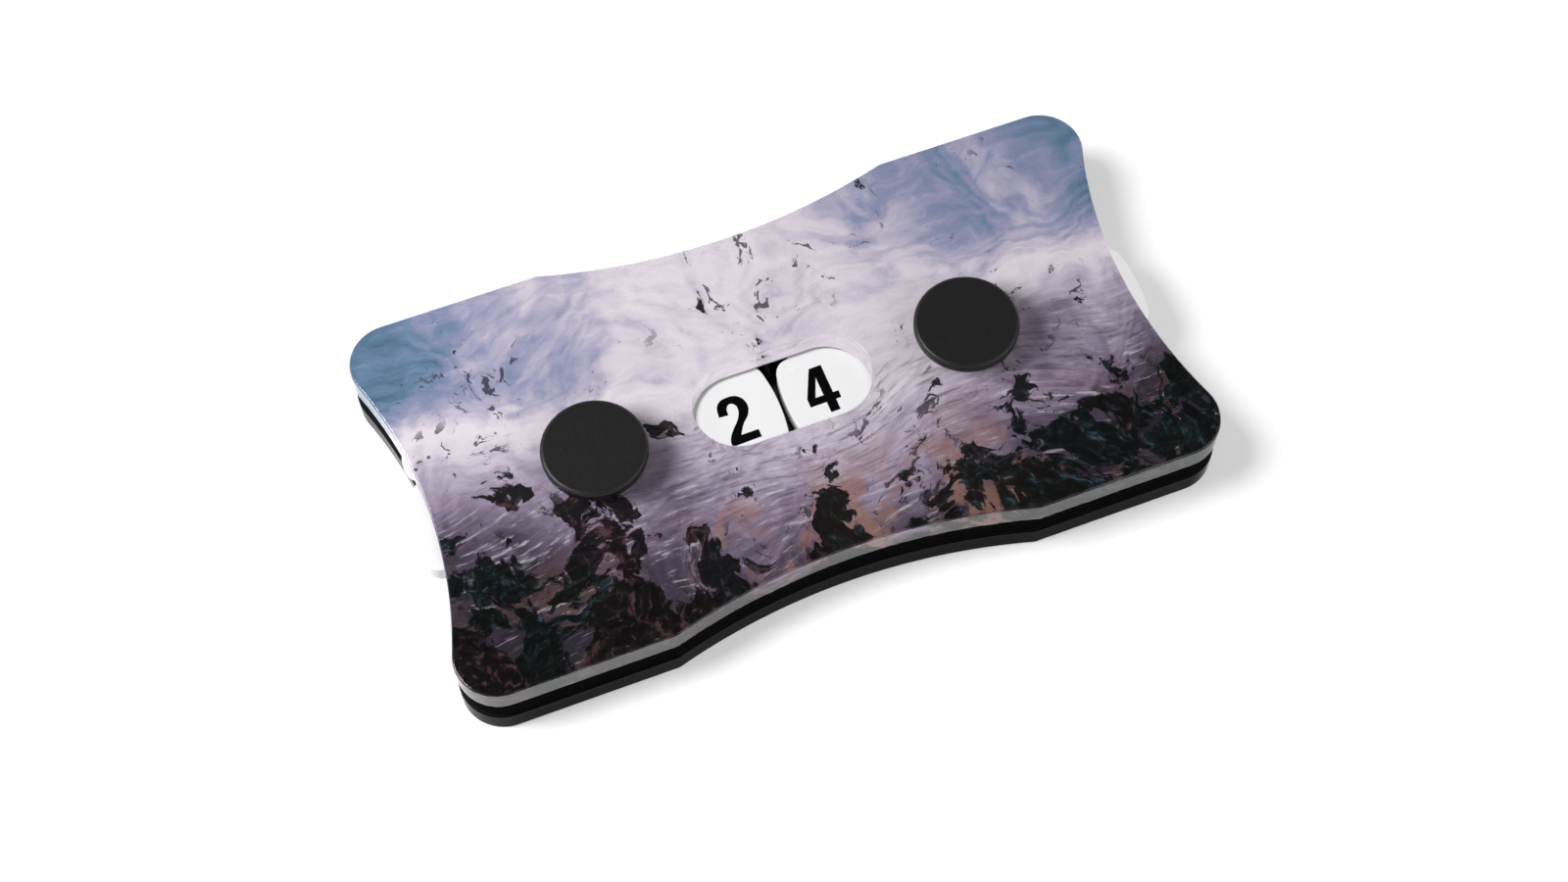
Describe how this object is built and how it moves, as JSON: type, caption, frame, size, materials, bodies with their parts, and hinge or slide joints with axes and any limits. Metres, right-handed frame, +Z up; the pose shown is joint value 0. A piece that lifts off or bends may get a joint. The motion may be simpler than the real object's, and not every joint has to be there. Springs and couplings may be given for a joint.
{
  "type": "life counter",
  "caption": "Pocket life counter: layered acrylic plates around numbered thumbwheels whose digits are read through a slot in the clear printed cover.",
  "frame": {"origin": "centre of the flat underside, on the table", "axes": "+X along the long side towards the right-hand wheel, +Y away from the player, +Z up through the clear cover"},
  "size_m": [0.0938, 0.0502, 0.011],
  "materials": {
    "black_acrylic": "glossy cast acrylic with polished laser-cut edges",
    "clear_acrylic": "clear cast acrylic with polished laser-cut edges",
    "white_acrylic": "white acrylic with black printed digits",
    "printed_film": "satin print in lilac, slate and dark plum",
    "satin_black": "matte black moulded plastic",
    "natural_nylon": "natural nylon",
    "soft_rubber": "soft black rubber",
    "black_tape": "thin black foam tape"
  },
  "bodies": {
    "case": {"base_plate": "black_acrylic", "rear_spacer": "black_tape", "front_spacer": "black_tape", "rear_rail": "black_acrylic", "front_rail": "black_acrylic", "picture_film": "printed_film", "cover_plate": "clear_acrylic", "left_sleeve": "natural_nylon", "right_sleeve": "natural_nylon", "left_friction_washer": "soft_rubber", "right_friction_washer": "soft_rubber", "left_post": "satin_black", "right_post": "satin_black", "left_screw": "satin_black", "right_screw": "satin_black"},
    "left_wheel": {"left_wheel": "white_acrylic"},
    "right_wheel": {"right_wheel": "white_acrylic"}
  },
  "joints": [
    {"name": "left_wheel_spin", "type": "hinge", "parent": "case", "child": "left_wheel", "pos_m": [-0.0234, 0, 0.00475], "axis": [0, 0, 1], "continuous": true},
    {"name": "right_wheel_spin", "type": "hinge", "parent": "case", "child": "right_wheel", "pos_m": [0.0234, 0, 0.00475], "axis": [0, 0, 1], "continuous": true}
  ]
}
